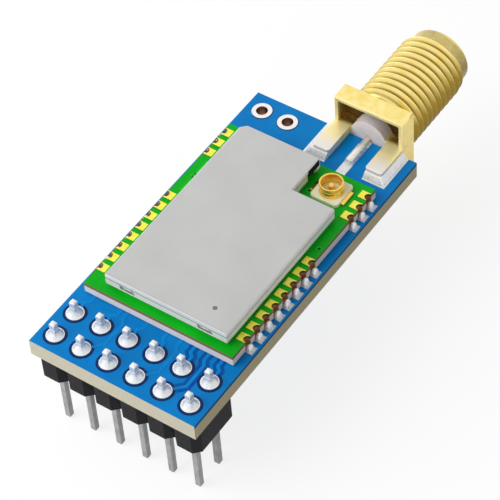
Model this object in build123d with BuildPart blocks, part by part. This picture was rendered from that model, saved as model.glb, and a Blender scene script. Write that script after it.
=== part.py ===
"""Radio module on a carrier board, with a pin header and a screw-on coaxial connector.

All sizes are in millimetres. The origin is the centre of the pin field, on the lower face of
the header's insulator. X runs across the board, Y from the header towards the connector, Z up.
"""
import os

from build123d import *

os.makedirs("parts", exist_ok=True)

# Pin header
pin_pitch = 2.54
pin_columns = 6
pin_rows = 2
pin_side = 0.5
pin_taper = 0.13
pin_mating_length = 6.0
pin_tail_length = 3.1
insulator_height = 2.54
insulator_notch = 0.8

# Carrier board
carrier_side_margin = 0.13
carrier_thickness = 1.6
front_row_margin = 1.5
foil = 0.05

# Plated holes and the solder in them
pin_hole_radius = 0.5
plating_thickness = 0.05
pin_land_radius = 0.74
pin_solder_height = 0.8
pin_solder_film = 0.06
spare_hole_radius = 0.5
spare_land_radius = 0.87
spare_hole_side_margin = 1.5
spare_hole_back_margin = 1.65

# Radio module board
module_width = 14.0
module_length = 20.0
module_thickness = 1.0
module_front_margin = 6.2
module_back_margin = 5.05

# Edge contacts of the radio module
contact_pitch = 1.27
front_contacts = 8
back_contacts = 3
front_contact_margin = 2.0
back_contact_margin = 1.0
contact_hole_radius = 0.38
contact_pad_length = 0.95
contact_pad_width = 0.8
carrier_pad_reach = 0.6
contact_solder_reach = 0.45
contact_solder_height = 0.85
contact_solder_film = 0.1
contact_solder_crest = 0.4

# Shield over the radio
sheet = 0.2
lid_height = 1.5
lid_left_margin = 1.7
lid_right_margin = 0.9
lid_front_margin = 0.65
lid_back_margin = 0.55
lid_skirt_gap = 0.35
lid_edge_radius = 0.15
lid_corner_cut = 0.5
notch_size = 3.95
lid_clearance = 0.02
frame_rim = 0.5
latch_spacing = 7.3
latch_width = 1.4
latch_height = 0.45
latch_sill = 0.12
latch_bump = 0.12
trace_slot_width = 1.3
trace_slot_height = 1.1
trace_slot_margin = 1.13

# Radio parts under the shield
chip_side = 4.0
chip_height = 0.75
chip_corner_cut = 0.3
chip_front_margin = 8.0
crystal_length = 2.5
crystal_depth = 2.0
crystal_height = 0.65
crystal_side_offset = 2.1
crystal_front_offset = 4.0
switch_length = 1.5
switch_depth = 1.1
switch_height = 0.5
switch_back_offset = 4.0
tiny_part_length = 1.0
tiny_part_side = 0.5
tiny_part_pitch = 1.25
capacitor_count = 8
capacitors_lid_margin = 1.4
capacitors_back_offset = 2.0
inductor_count = 4
inductors_side_offset = 3.0
inductors_notch_margin = 5.5

# Small push-fit coaxial receptacle in the shield's notch
snap_from_right = 1.85
snap_from_back = 1.55
snap_base_side = 2.6
snap_base_height = 0.35
snap_base_corner = 0.2
snap_ring_radius = 1.0
snap_ring_wall = 0.14
snap_ring_height = 1.25
snap_groove_height = 0.25
snap_groove_depth = 0.06
snap_lip_height = 0.15
snap_tab_width = 1.5
snap_tab_reach = 0.3
snap_tab_thickness = 0.1
snap_floor = 0.1
snap_pin_radius = 0.25
snap_pin_height = 1.0

# Screw-on coaxial connector at the back edge
connector_side_shift = 3.1
edge_gap = 0.05
flange_width = 6.6
flange_height = 6.3
flange_thickness = 1.8
flange_edge_cut = 0.12
relief_radius = 2.75
relief_length = 0.5
thread_radius = 3.1
thread_length = 7.9
thread_chamfer = 0.3
nose_radius = 2.7
nose_length = 1.2
nose_chamfer = 0.2
mouth_radius = 2.3
mouth_depth = 1.9
insulator_radius = 2.05
insulator_tail_radius = 1.68
insulator_tail_length = 2.4
contact_radius = 0.635
contact_bore_radius = 0.47
contact_bore_depth = 2.9
contact_slot_width = 0.12
contact_slot_depth = 2.0
contact_back_wall = 1.0
contact_tail_radius = 0.25
contact_tail_length = 3.1
leg_gap = 3.5
leg_width = 1.55
leg_height = 0.75
leg_length = 3.3
leg_corner_radius = 0.25
pocket_side_wall = 0.4
pocket_roof = 0.35
pocket_depth = 1.15

# Lands and solder of the connector
ground_land_inset = 0.05
ground_land_width = 2.13
ground_land_length = 3.85
leg_solder_height = 0.5
leg_solder_foot = 0.5
leg_solder_crown = 0.08
trace_width = 0.85
trace_under_module = 0.4
tail_solder_height = 0.4
tail_solder_length = 2.3
tail_solder_crown = 0.3

# Heights
carrier_bottom = insulator_height
carrier_top = carrier_bottom + carrier_thickness
land_top = carrier_top + foil
module_bottom = land_top + foil
module_top = module_bottom + module_thickness
lid_top = module_top + lid_height
skirt_bottom = module_top + lid_skirt_gap
frame_top = lid_top - sheet
connector_z = land_top + contact_tail_radius

# Places in plan
header_width = (pin_columns - 1) * pin_pitch
header_depth = (pin_rows - 1) * pin_pitch
insulator_width = header_width + pin_pitch
insulator_depth = header_depth + pin_pitch
carrier_width = insulator_width + 2 * carrier_side_margin
carrier_front = -header_depth / 2 - front_row_margin
module_front = carrier_front + module_front_margin
module_back = module_front + module_length
carrier_back = module_back + module_back_margin
carrier_length = carrier_back - carrier_front
carrier_left = -carrier_width / 2
module_edge = module_width / 2
lid_left = lid_left_margin - module_edge
lid_right = module_edge - lid_right_margin
lid_middle = (lid_left + lid_right) / 2
lid_front = module_front + lid_front_margin
lid_back = module_back - lid_back_margin
notch_left = lid_right - notch_size
notch_front = lid_back - notch_size
chip_y = module_front + chip_front_margin
snap_x = lid_right - snap_from_right
snap_y = lid_back - snap_from_back
connector_x = connector_side_shift
flange_front = carrier_back + edge_gap
flange_back = flange_front + flange_thickness
nose_end = flange_back + relief_length + thread_length + nose_length
reference_y = nose_end - mouth_depth

pin_places = [
    (column * pin_pitch - header_width / 2, row * pin_pitch - header_depth / 2)
    for row in range(pin_rows)
    for column in range(pin_columns)
]
spare_left = (carrier_left + spare_hole_side_margin, carrier_back - spare_hole_back_margin)
spare_right = (spare_left[0] + pin_pitch, spare_left[1])
contact_places = [
    (module_edge, module_front + front_contact_margin + step * contact_pitch)
    for step in range(front_contacts)
] + [
    (module_edge, module_back - back_contact_margin - step * contact_pitch)
    for step in range(back_contacts)
]

# Pieces that stand on a surface are placed by the middle of their underside
on_floor = (Align.CENTER, Align.CENTER, Align.MIN)


def connector_plane(y):
    """Plane square to the connector's axis, facing out of its mouth."""
    return Plane(origin=(connector_x, y, connector_z), x_dir=(-1, 0, 0), z_dir=(0, 1, 0))


# Header insulator: a moulded strip with a notch between neighbouring units
with BuildPart() as header_insulator:
    with BuildSketch():
        Rectangle(insulator_width, insulator_depth)
        with GridLocations(pin_pitch, insulator_depth, pin_columns + 1, 2):
            Rectangle(insulator_notch, insulator_notch, rotation=45, mode=Mode.SUBTRACT)
        with Locations(*pin_places):
            Rectangle(pin_side, pin_side, mode=Mode.SUBTRACT)
    extrude(amount=insulator_height)
header_insulator.part.label = "header_insulator"


# Header pins: square wire, pointed a little at both ends
pin_length = pin_mating_length + insulator_height + pin_tail_length
header_pins = []
for number, (pin_x, pin_y) in enumerate(pin_places, start=1):
    with BuildPart() as header_pin:
        with BuildSketch(Plane.XY.offset(-pin_mating_length)):
            with Locations((pin_x, pin_y)):
                Rectangle(pin_side, pin_side)
        extrude(amount=pin_length)
        chamfer(header_pin.faces().filter_by(Axis.Z).edges(), length=pin_taper)
    header_pin.part.label = f"header_pin_{number:02d}"
    header_pins.append(header_pin.part)


# Carrier board with its drilled holes
with BuildPart() as carrier_board:
    with BuildSketch(Plane.XY.offset(carrier_bottom)):
        with Locations((0, carrier_front)):
            Rectangle(carrier_width, carrier_length, align=(Align.CENTER, Align.MIN))
        with Locations(*pin_places):
            Circle(pin_hole_radius + plating_thickness, mode=Mode.SUBTRACT)
        with Locations(spare_left, spare_right):
            Circle(spare_hole_radius + plating_thickness, mode=Mode.SUBTRACT)
    extrude(amount=carrier_thickness)
carrier_board.part.label = "carrier_board"


# Header hole plating: each hole's lining and upper ring, with the solder that has run into it.
# The insulator covers the lower end
with BuildPart() as header_hole_plating:
    with BuildSketch(Plane.XY.offset(carrier_bottom)):
        with Locations(*pin_places):
            Circle(pin_hole_radius + plating_thickness)
    extrude(amount=carrier_thickness)
    with BuildSketch(Plane.XY.offset(carrier_top)):
        with Locations(*pin_places):
            Circle(pin_land_radius)
    extrude(amount=foil)
    with BuildSketch(Plane.XY.offset(carrier_bottom)):
        with Locations(*pin_places):
            Rectangle(pin_side, pin_side)
    extrude(amount=land_top - carrier_bottom, mode=Mode.SUBTRACT)
header_hole_plating.part.label = "header_hole_plating"


# Header solder: a hollow-sided cone on each land, drawn up round its pin
solder_levels = (
    (0, pin_land_radius - foil),
    (pin_solder_height / 3, (pin_land_radius + pin_side) / 2.3),
    (pin_solder_height, pin_side / 2**0.5 + pin_solder_film),
)
with BuildPart() as pin_joint:
    for rise, radius in solder_levels:
        with BuildSketch(Plane.XY.offset(land_top + rise)):
            RegularPolygon(radius, side_count=16)
    loft(ruled=True)
    with BuildSketch(Plane.XY.offset(land_top)):
        Rectangle(pin_side, pin_side)
    extrude(amount=pin_solder_height, mode=Mode.SUBTRACT)
with BuildPart() as header_solder:
    with Locations(*pin_places):
        add(pin_joint.part)
header_solder.part.label = "header_solder"


def spare_plating(place):
    """Lining of one spare hole, with a ring on both faces of the board."""
    with BuildPart() as plating:
        for z, depth, radius in (
            (carrier_bottom, carrier_thickness, spare_hole_radius + plating_thickness),
            (carrier_bottom - foil, foil, spare_land_radius),
            (carrier_top, foil, spare_land_radius),
        ):
            with BuildSketch(Plane.XY.offset(z)):
                with Locations(place):
                    Circle(radius)
                    Circle(spare_hole_radius, mode=Mode.SUBTRACT)
            extrude(amount=depth)
    return plating.part


plated_hole_left = spare_plating(spare_left)
plated_hole_left.label = "plated_hole_left"
plated_hole_right = spare_plating(spare_right)
plated_hole_right.label = "plated_hole_right"


# Carrier lands under the radio module's edge contacts
with BuildPart() as module_lands_right:
    with BuildSketch(Plane.XY.offset(carrier_top)):
        with Locations(*[(x + carrier_pad_reach, y) for x, y in contact_places]):
            Rectangle(
                contact_pad_length + carrier_pad_reach, contact_pad_width, align=(Align.MAX, Align.CENTER)
            )
    extrude(amount=foil)
module_lands_right.part.label = "module_lands_right"
with BuildPart() as module_lands_left:
    mirror(module_lands_right.part, about=Plane.YZ)
module_lands_left.part.label = "module_lands_left"


# Radio module board: half holes are cut into its two long edges
with BuildPart() as module_board:
    with BuildSketch(Plane.XY.offset(module_bottom)):
        with Locations((0, module_front)):
            Rectangle(module_width, module_length, align=(Align.CENTER, Align.MIN))
        with Locations(*contact_places, *[(-x, y) for x, y in contact_places]):
            Circle(contact_hole_radius, mode=Mode.SUBTRACT)
    extrude(amount=module_thickness)
module_board.part.label = "module_board"


# Edge contacts: a pad above, a pad below and the plated half hole between them
lining_radius = contact_hole_radius - plating_thickness
with BuildPart() as edge_contacts_right:
    for level in (land_top, module_top):
        with BuildSketch(Plane.XY.offset(level)):
            with Locations(*contact_places):
                Rectangle(contact_pad_length, contact_pad_width, align=(Align.MAX, Align.CENTER))
                Circle(lining_radius, mode=Mode.SUBTRACT)
        extrude(amount=foil)
    with BuildSketch(Plane.XY.offset(module_bottom)):
        with Locations(*contact_places):
            Circle(contact_hole_radius)
            Circle(lining_radius, mode=Mode.SUBTRACT)
        with Locations((module_edge, module_front)):
            Rectangle(contact_pad_length, module_length, align=(Align.MIN, Align.MIN), mode=Mode.SUBTRACT)
    extrude(amount=module_thickness)
edge_contacts_right.part.label = "edge_contacts_right"
with BuildPart() as edge_contacts_left:
    mirror(edge_contacts_right.part, about=Plane.YZ)
edge_contacts_left.part.label = "edge_contacts_left"


# Module solder: a bank on each carrier land, which leans on the half hole's mouth
with BuildPart() as contact_joint:
    for z, reach, width in (
        (land_top, contact_solder_reach, contact_pad_width),
        (land_top + contact_solder_height / 3, contact_solder_reach / 2, contact_pad_width * 0.8),
        (land_top + contact_solder_height, contact_solder_film, contact_solder_crest),
    ):
        with BuildSketch(Plane.XY.offset(z)):
            Rectangle(reach, width, align=(Align.MIN, Align.CENTER))
    loft(ruled=True)
with BuildPart() as module_solder_right:
    with Locations(*contact_places):
        add(contact_joint.part)
module_solder_right.part.label = "module_solder_right"
with BuildPart() as module_solder_left:
    mirror(module_solder_right.part, about=Plane.YZ)
module_solder_left.part.label = "module_solder_left"


def shield_sketch(z, inset, opening=None):
    """Plan of the shield, moved inwards by inset, with its middle left open if asked."""
    with BuildSketch(Plane.XY.offset(z)) as plan:
        for distance, mode in ((inset, Mode.ADD), (opening, Mode.SUBTRACT)):
            if distance is not None:
                left = lid_left + distance
                back = lid_back - distance
                with BuildLine():
                    Polyline(
                        (left, lid_front + distance),
                        (lid_right - distance, lid_front + distance),
                        (lid_right - distance, notch_front - distance),
                        (notch_left - distance, notch_front - distance),
                        (notch_left - distance, back),
                        (left + lid_corner_cut, back),
                        (left, back - lid_corner_cut),
                        close=True,
                    )
                make_face(mode=mode)
    return plan.sketch


latch_places = [lid_middle - latch_spacing / 2, lid_middle + latch_spacing / 2]
latch_z = skirt_bottom + latch_sill
trace_slot_y = lid_back - trace_slot_margin

# Shield frame: a fence of folded sheet soldered to the module, with a rim turned inwards at its top
frame_inset = sheet + lid_clearance
with BuildPart() as shield_frame:
    extrude(shield_sketch(module_top, frame_inset, frame_inset + sheet), amount=frame_top - module_top)
    extrude(shield_sketch(frame_top - sheet, frame_inset, frame_inset + frame_rim), amount=sheet)
    with Locations((notch_left - frame_inset, trace_slot_y, module_top)):
        Box(2 * sheet, trace_slot_width, trace_slot_height, align=on_floor, mode=Mode.SUBTRACT)
    with BuildSketch(Plane.XZ.offset(-lid_front - frame_inset)):
        with Locations(*[(x, latch_z + latch_height / 2) for x in latch_places]):
            Rectangle(latch_width / 2, latch_height / 2)
    extrude(amount=latch_bump)
shield_frame.part.label = "shield_frame"


# Shield lid: a pressed cover whose skirt closes over the frame, with two latch windows in front
with BuildPart() as shield_lid:
    extrude(shield_sketch(skirt_bottom, 0), amount=lid_top - skirt_bottom)
    fillet(shield_lid.faces().sort_by(Axis.Z)[-1].edges(), radius=lid_edge_radius)
    extrude(shield_sketch(skirt_bottom, sheet), amount=frame_top - skirt_bottom, mode=Mode.SUBTRACT)
    with Locations(*[(x, lid_front, latch_z) for x in latch_places]):
        Box(latch_width, 2 * sheet, latch_height, align=on_floor, mode=Mode.SUBTRACT)
    with Locations((notch_left, trace_slot_y, module_top)):
        Box(2 * sheet, trace_slot_width, trace_slot_height, align=on_floor, mode=Mode.SUBTRACT)
shield_lid.part.label = "shield_lid"


# Radio parts on the module board, hidden under the shield
with BuildPart() as radio_chip:
    with Locations((0, chip_y, module_top)):
        Box(chip_side, chip_side, chip_height, align=on_floor)
    first_corner = radio_chip.edges().filter_by(Axis.Z).group_by(Axis.Y)[0].sort_by(Axis.X)[0]
    chamfer(first_corner, length=chip_corner_cut)
radio_chip.part.label = "radio_chip"

with BuildPart() as crystal:
    with Locations((-crystal_side_offset, chip_y - crystal_front_offset, module_top)):
        Box(crystal_length, crystal_depth, crystal_height, align=on_floor)
    fillet(crystal.edges().filter_by(Axis.Z), radius=crystal_depth / 10)
crystal.part.label = "crystal"

with BuildPart() as antenna_switch:
    with Locations((0, chip_y + switch_back_offset, module_top)):
        Box(switch_length, switch_depth, switch_height, align=on_floor)
antenna_switch.part.label = "antenna_switch"


def tiny_part_row(count, x, y):
    """Row of chip capacitors or inductors, one behind the other."""
    with BuildPart() as row:
        with Locations((x, y, module_top)):
            with GridLocations(tiny_part_pitch, tiny_part_pitch, 1, count):
                Box(tiny_part_length, tiny_part_side, tiny_part_side, align=on_floor)
    return row.part


capacitors = tiny_part_row(
    capacitor_count, lid_left + capacitors_lid_margin, chip_y + capacitors_back_offset
)
capacitors.label = "capacitors"
inductors = tiny_part_row(inductor_count, inductors_side_offset, notch_front - inductors_notch_margin)
inductors.label = "inductors"


# Push-fit receptacle: a grooved ring with two ground tabs, in a moulded base round a centre pin
ring_bore = snap_ring_radius - snap_ring_wall
groove_top = module_top + snap_ring_height - snap_lip_height
tab_span = snap_base_side + 2 * snap_tab_reach
with BuildPart() as snap_shell:
    with BuildSketch(Plane.XY.offset(module_top)):
        with Locations((snap_x, snap_y)):
            Rectangle(tab_span, snap_tab_width)
            Rectangle(snap_base_side, snap_tab_width, mode=Mode.SUBTRACT)
    extrude(amount=snap_floor)
    with BuildSketch(Plane.XY.offset(module_top + snap_floor)):
        with Locations((snap_x, snap_y)):
            Rectangle(tab_span, snap_tab_width)
            Circle(ring_bore, mode=Mode.SUBTRACT)
    extrude(amount=snap_tab_thickness)
    with BuildSketch(Plane.XY.offset(module_top + snap_floor)):
        with Locations((snap_x, snap_y)):
            Circle(snap_ring_radius)
            Circle(ring_bore, mode=Mode.SUBTRACT)
    extrude(amount=snap_ring_height - snap_floor)
    with BuildSketch(Plane.XY.offset(groove_top)):
        with Locations((snap_x, snap_y)):
            Circle(snap_ring_radius)
            Circle(snap_ring_radius - snap_groove_depth, mode=Mode.SUBTRACT)
    extrude(amount=-snap_groove_height, mode=Mode.SUBTRACT)
snap_shell.part.label = "snap_shell"

with BuildPart() as snap_base:
    with Locations((snap_x, snap_y, module_top)):
        Box(snap_base_side, snap_base_side, snap_base_height, align=on_floor)
    chamfer(snap_base.edges().filter_by(Axis.Z), length=snap_base_corner)
    with Locations((snap_x, snap_y, module_top)):
        Cylinder(snap_pin_radius, snap_base_height, align=on_floor, mode=Mode.SUBTRACT)
    add(snap_shell.part, mode=Mode.SUBTRACT)
snap_base.part.label = "snap_base"

with BuildPart() as snap_contact:
    with Locations((snap_x, snap_y, module_top)):
        Cylinder(snap_pin_radius, snap_pin_height, align=on_floor)
    chamfer(snap_contact.faces().sort_by(Axis.Z)[-1].edges(), length=snap_pin_radius / 3)
snap_contact.part.label = "snap_contact"


# Antenna trace: the bare track from the module to the connector
with BuildPart() as antenna_trace:
    with BuildSketch(Plane.XY.offset(carrier_top)):
        with Locations((connector_x, carrier_back)):
            Rectangle(
                trace_width,
                carrier_back - module_back + trace_under_module,
                align=(Align.CENTER, Align.MAX),
            )
    extrude(amount=foil)
antenna_trace.part.label = "antenna_trace"


# Ground lands: a pair above and a pair below, under the connector's legs
leg_centre = leg_gap / 2 + leg_width / 2
land_centre = leg_gap / 2 + ground_land_inset + ground_land_width / 2


def ground_lands(level):
    """Pair of lands at the board's back edge, on one of its faces."""
    with BuildPart() as lands:
        with BuildSketch(Plane.XY.offset(level)):
            with Locations((connector_x - land_centre, carrier_back), (connector_x + land_centre, carrier_back)):
                Rectangle(ground_land_width, ground_land_length, align=(Align.CENTER, Align.MAX))
        extrude(amount=foil)
    return lands.part


ground_lands_top = ground_lands(carrier_top)
ground_lands_top.label = "ground_lands_top"
ground_lands_bottom = ground_lands(carrier_bottom - foil)
ground_lands_bottom.label = "ground_lands_bottom"


# Connector body: a turned barrel, a square flange with a pocket in front, and four legs that
# straddle the board's edge
upper_leg_z = leg_height / 2 - contact_tail_radius
lower_leg_z = -contact_tail_radius - 2 * foil - carrier_thickness - leg_height / 2
pocket_floor = leg_height - contact_tail_radius
pocket_height = flange_height / 2 - pocket_roof - pocket_floor
with BuildPart() as coax_body:
    with BuildSketch(connector_plane(flange_front)):
        Rectangle(flange_width, flange_height)
    extrude(amount=flange_thickness)
    chamfer(coax_body.edges(), length=flange_edge_cut)
    with BuildSketch(connector_plane(flange_front)):
        with Locations((0, pocket_floor)):
            Rectangle(
                flange_width - 2 * pocket_side_wall, pocket_height, align=(Align.CENTER, Align.MIN)
            )
    extrude(amount=pocket_depth, mode=Mode.SUBTRACT)
    with BuildSketch(connector_plane(flange_front + flange_edge_cut)):
        for leg_z in (upper_leg_z, lower_leg_z):
            with Locations((-leg_centre, leg_z), (leg_centre, leg_z)):
                Rectangle(leg_width, leg_height)
    extrude(amount=-leg_length - flange_edge_cut)
    leg_tips = coax_body.faces().filter_by(Axis.Y).group_by(Axis.Y)[0]
    fillet(leg_tips.edges().filter_by(Axis.Z), radius=leg_corner_radius)
    with BuildSketch(connector_plane(flange_back)):
        Circle(relief_radius)
    extrude(amount=relief_length)
    with BuildSketch(connector_plane(flange_back + relief_length)):
        Circle(thread_radius)
    extrude(amount=thread_length)
    thread_ends = coax_body.edges().filter_by(GeomType.CIRCLE).filter_by(
        lambda edge: abs(edge.radius - thread_radius) < edge_gap
    )
    chamfer(thread_ends, length=thread_chamfer)
    with BuildSketch(connector_plane(nose_end - nose_length)):
        Circle(nose_radius)
    extrude(amount=nose_length)
    chamfer(coax_body.faces().sort_by(Axis.Y)[-1].edges(), length=nose_chamfer)
    with BuildSketch(connector_plane(nose_end)):
        Circle(mouth_radius)
    extrude(amount=-mouth_depth, mode=Mode.SUBTRACT)
    with BuildSketch(connector_plane(reference_y)):
        Circle(insulator_radius)
    extrude(amount=flange_front + insulator_tail_length - reference_y, mode=Mode.SUBTRACT)
    with BuildSketch(connector_plane(flange_front)):
        Circle(insulator_tail_radius)
    extrude(amount=insulator_tail_length, mode=Mode.SUBTRACT)
coax_body.part.label = "coax_body"


# Connector contact: slotted socket in front, solid wire behind that lies on the antenna trace
contact_step = flange_front + contact_back_wall
with BuildPart() as coax_contact:
    with BuildSketch(connector_plane(contact_step)):
        Circle(contact_radius)
    extrude(amount=reference_y - contact_step)
    with BuildSketch(connector_plane(contact_step)):
        Circle(contact_tail_radius)
    extrude(amount=flange_front - contact_tail_length - contact_step)
    chamfer(coax_contact.faces().sort_by(Axis.Y)[0].edges(), length=contact_tail_radius / 4)
    with BuildSketch(connector_plane(reference_y)):
        Circle(contact_bore_radius)
    extrude(amount=-contact_bore_depth, mode=Mode.SUBTRACT)
    with BuildSketch(connector_plane(reference_y)):
        Rectangle(2 * contact_radius, contact_slot_width)
        Rectangle(contact_slot_width, 2 * contact_radius)
    extrude(amount=-contact_slot_depth, mode=Mode.SUBTRACT)
coax_contact.part.label = "coax_contact"


# Connector insulator: stepped round plug that holds the contact on the axis
with BuildPart() as coax_insulator:
    with BuildSketch(connector_plane(flange_front)):
        Circle(insulator_tail_radius)
    extrude(amount=insulator_tail_length)
    with BuildSketch(connector_plane(flange_front + insulator_tail_length)):
        Circle(insulator_radius)
    extrude(amount=reference_y - flange_front - insulator_tail_length)
    with BuildSketch(connector_plane(contact_step)):
        Circle(contact_radius)
    extrude(amount=reference_y - contact_step, mode=Mode.SUBTRACT)
    with BuildSketch(connector_plane(flange_front)):
        Circle(contact_tail_radius)
    extrude(amount=contact_back_wall, mode=Mode.SUBTRACT)
coax_insulator.part.label = "coax_insulator"


# Leg solder: a sloping bank along the outer side and the tip of each leg
leg_tip = flange_front - leg_length
bank_side = leg_gap / 2 + ground_land_inset
with BuildPart() as coax_leg_solder:
    for side in (-1, 1):
        for face, climb in ((land_top, 1), (carrier_bottom - foil, -1)):
            for rise, spread in ((0, leg_solder_foot), (leg_solder_height, leg_solder_crown)):
                bank_width = leg_width - ground_land_inset + spread
                bank_length = carrier_back - leg_tip + spread
                with BuildSketch(Plane.XY.offset(face + climb * rise)):
                    with Locations((connector_x + side * (bank_side + bank_width / 2), carrier_back)):
                        Rectangle(bank_width, bank_length, align=(Align.CENTER, Align.MAX))
            loft()
    add(coax_body.part, mode=Mode.SUBTRACT)
coax_leg_solder.part.label = "coax_leg_solder"


# Tail solder: a low mound that holds the contact's tail on the antenna trace
with BuildPart() as coax_tail_solder:
    for rise, width in ((0, trace_width), (tail_solder_height, 2 * tail_solder_crown)):
        with BuildSketch(Plane.XY.offset(land_top + rise)):
            with Locations((connector_x, flange_front - contact_tail_length + tail_solder_length / 2)):
                Rectangle(width, tail_solder_length - rise)
    loft()
    add(coax_contact.part, mode=Mode.SUBTRACT)
coax_tail_solder.part.label = "coax_tail_solder"


pieces = [
    header_insulator.part,
    *header_pins,
    carrier_board.part,
    header_hole_plating.part,
    plated_hole_left,
    plated_hole_right,
    header_solder.part,
    module_lands_left.part,
    module_lands_right.part,
    module_board.part,
    edge_contacts_left.part,
    edge_contacts_right.part,
    module_solder_left.part,
    module_solder_right.part,
    shield_frame.part,
    shield_lid.part,
    radio_chip.part,
    crystal.part,
    antenna_switch.part,
    capacitors,
    inductors,
    snap_shell.part,
    snap_base.part,
    snap_contact.part,
    antenna_trace.part,
    ground_lands_top,
    ground_lands_bottom,
    coax_body.part,
    coax_contact.part,
    coax_insulator.part,
    coax_leg_solder.part,
    coax_tail_solder.part,
]
for piece in pieces:
    export_step(piece, f"parts/{piece.label}.step")
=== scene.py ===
"""Radio module on a carrier board, with its pin header and screw-on connector, on a pale table."""
import math
import random

import bmesh
import bpy
from mathutils import Matrix, Vector


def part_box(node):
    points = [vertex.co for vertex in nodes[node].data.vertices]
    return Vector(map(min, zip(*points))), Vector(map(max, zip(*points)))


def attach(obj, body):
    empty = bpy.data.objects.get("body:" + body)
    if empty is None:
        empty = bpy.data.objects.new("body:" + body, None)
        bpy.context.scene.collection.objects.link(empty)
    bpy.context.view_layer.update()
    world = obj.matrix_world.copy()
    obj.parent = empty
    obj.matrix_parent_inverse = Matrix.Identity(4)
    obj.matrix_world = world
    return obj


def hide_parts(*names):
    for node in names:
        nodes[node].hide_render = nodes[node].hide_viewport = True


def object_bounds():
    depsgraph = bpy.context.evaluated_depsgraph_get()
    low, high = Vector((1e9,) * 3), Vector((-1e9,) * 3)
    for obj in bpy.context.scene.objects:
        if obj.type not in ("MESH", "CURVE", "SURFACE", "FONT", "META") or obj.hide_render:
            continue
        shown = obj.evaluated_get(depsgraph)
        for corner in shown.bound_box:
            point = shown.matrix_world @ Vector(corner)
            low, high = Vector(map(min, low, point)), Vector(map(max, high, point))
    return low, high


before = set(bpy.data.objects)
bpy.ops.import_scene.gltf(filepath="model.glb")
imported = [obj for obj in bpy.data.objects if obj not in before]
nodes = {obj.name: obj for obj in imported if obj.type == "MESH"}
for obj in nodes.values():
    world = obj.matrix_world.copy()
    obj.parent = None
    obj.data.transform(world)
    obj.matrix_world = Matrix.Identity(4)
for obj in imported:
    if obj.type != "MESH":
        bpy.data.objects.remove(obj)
cad_low, cad_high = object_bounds()
mm = 0.001


# The carrier board is woven glass and resin, pressed with copper on both faces. The copper is
# etched to tracks, and a blue mask is printed over it and cured to a gloss. Saw cuts bare its edges.
def new_finish(name, colour, roughness=0.5, metallic=0.0, specular=0.5):
    """A material, its node tree and its shader, with the plain values set."""
    finish = bpy.data.materials.new(name)
    finish.use_nodes = True
    tree = finish.node_tree
    shader = tree.nodes["Principled BSDF"]
    shader.inputs["Base Color"].default_value = (*colour, 1.0)
    shader.inputs["Roughness"].default_value = roughness
    shader.inputs["Metallic"].default_value = metallic
    shader.inputs["Specular IOR Level"].default_value = specular
    return finish, tree, shader


def place_on(tree, stretch=(1.0, 1.0, 1.0)):
    """Place on the object in metres, each direction times a factor."""
    mapping = tree.nodes.new("ShaderNodeMapping")
    mapping.inputs["Scale"].default_value = stretch
    tree.links.new(tree.nodes.new("ShaderNodeTexCoord").outputs["Object"], mapping.inputs["Vector"])
    return mapping.outputs["Vector"]


def axis_of(tree, vector, axis):
    """One of the three numbers of a vector."""
    split = tree.nodes.new("ShaderNodeSeparateXYZ")
    tree.links.new(vector, split.inputs["Vector"])
    return split.outputs[axis]


def mottle(tree, place, size, detail=3.0):
    """Cloudy value with spots of about the given size."""
    noise = tree.nodes.new("ShaderNodeTexNoise")
    noise.inputs["Scale"].default_value = 1.0 / size
    noise.inputs["Detail"].default_value = detail
    tree.links.new(place, noise.inputs["Vector"])
    return noise.outputs["Fac"]


def spread(tree, value, low, high, out_low=0.0, out_high=1.0):
    """The value, taken from one range to another and held inside it."""
    node = tree.nodes.new("ShaderNodeMapRange")
    node.inputs["From Min"].default_value = low
    node.inputs["From Max"].default_value = high
    node.inputs["To Min"].default_value = out_low
    node.inputs["To Max"].default_value = out_high
    tree.links.new(value, node.inputs["Value"])
    return node.outputs["Result"]


def worked_out(tree, operation, *values):
    """Result of a sum, product or other operation on values."""
    node = tree.nodes.new("ShaderNodeMath")
    node.operation = operation
    for socket, value in zip(node.inputs, values):
        if isinstance(value, float):
            socket.default_value = value
        else:
            tree.links.new(value, socket)
    return node.outputs["Value"]


def blended(tree, share, first, second):
    """Colour between two colours."""
    node = tree.nodes.new("ShaderNodeMix")
    node.data_type = "RGBA"
    colours = [socket for socket in node.inputs if socket.type == "RGBA"]
    for socket, colour in zip(colours, (first, second)):
        if isinstance(colour, tuple):
            socket.default_value = (*colour, 1.0)
        else:
            tree.links.new(colour, socket)
    tree.links.new(share, node.inputs[0])
    return [socket for socket in node.outputs if socket.type == "RGBA"][0]


def relief(tree, shader, height, depth):
    """Fine relief of a depth in metres, from a value between 0 and 1."""
    bump = tree.nodes.new("ShaderNodeBump")
    bump.inputs["Distance"].default_value = depth
    tree.links.new(height, bump.inputs["Height"])
    tree.links.new(bump.outputs["Normal"], shader.inputs["Normal"])


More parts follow.
